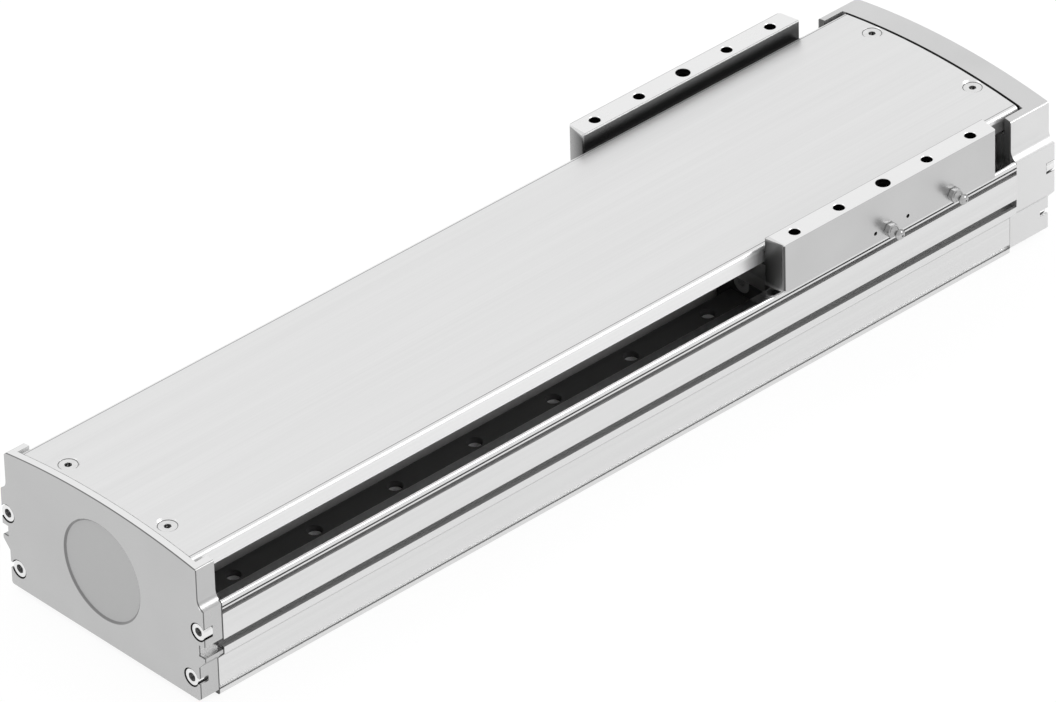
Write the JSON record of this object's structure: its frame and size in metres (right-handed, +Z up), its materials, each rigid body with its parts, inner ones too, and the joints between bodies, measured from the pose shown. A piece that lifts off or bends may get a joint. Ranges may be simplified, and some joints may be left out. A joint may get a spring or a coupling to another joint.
{
  "type": "ball screw linear axis",
  "caption": "Covered ball screw axis: a slotted extruded base with end caps, guide rails under a crowned cover and a slide with a bar along each side.",
  "frame": {"origin": "middle of the mounting face under the extruded base", "axes": "+X along the travel, towards the drive end; +Y to the left; +Z up from the mounting face"},
  "size_m": [0.685, 0.2, 0.1],
  "materials": {
    "profile": "silver anodised extrusion, fine lines along it",
    "cap": "silver anodised, finely blasted",
    "cover": "brushed along its length",
    "slide": "silver anodised, milled",
    "screw": "bright zinc plated",
    "dark_screw": "dark oiled steel",
    "rail": "near-black coated steel",
    "carriage": "dark steel",
    "carriage_end": "dark grey plastic",
    "seal": "black rubber",
    "gap_seal": "black plastic",
    "stop": "black rubber",
    "bracket": "milled",
    "nut": "ground steel",
    "wiper": "off-white plastic",
    "nipple": "bright steel",
    "spindle": "ground and polished steel",
    "bearing": "ground steel",
    "lock_nut": "dark steel",
    "lid": "silver anodised"
  },
  "bodies": {
    "base": {"base_profile": "profile", "idle_end_cap": "cap", "drive_end_cap": "cap", "cover_plate": "cover", "cover_screws": "screw", "idle_cap_screws": "screw", "drive_cap_screws": "screw", "guide_rail_left": "rail", "guide_rail_right": "rail", "rail_screws": "dark_screw", "idle_bearing_outer": "bearing", "drive_bearing_outer": "bearing", "bearing_lid": "lid", "lid_screws": "screw", "shaft_seal": "seal", "end_stops": "stop"},
    "slide": {"slide_body": "slide", "carriage_block_drive_left": "carriage", "carriage_ends_drive_left": "carriage_end", "carriage_seals_drive_left": "seal", "carriage_block_drive_right": "carriage", "carriage_ends_drive_right": "carriage_end", "carriage_seals_drive_right": "seal", "carriage_block_idle_left": "carriage", "carriage_ends_idle_left": "carriage_end", "carriage_seals_idle_left": "seal", "carriage_block_idle_right": "carriage", "carriage_ends_idle_right": "carriage_end", "carriage_seals_idle_right": "seal", "carriage_screws": "dark_screw", "nut_bracket": "bracket", "ball_nut": "nut", "nut_lock_ring": "nut", "nut_wipers": "wiper", "bracket_screws": "dark_screw", "grease_nipples": "nipple", "gap_seal_left": "gap_seal", "gap_seal_right": "gap_seal"},
    "screw": {"spindle": "spindle", "idle_bearing_inner": "bearing", "drive_bearing_inner": "bearing", "shaft_lock_nut": "lock_nut"}
  },
  "joints": [
    {"name": "slide_travel", "type": "slide", "parent": "base", "child": "slide", "axis": [1, 0, 0], "range_m": [-0.4, 0]},
    {"name": "screw_turn", "type": "hinge", "parent": "base", "child": "screw", "pos_m": [0, 0, 0.05], "axis": [1, 0, 0], "continuous": true}
  ],
  "couplings": [
    {"joint": "screw_turn", "follows": "slide_travel", "rad_per_m": -628.32}
  ]
}
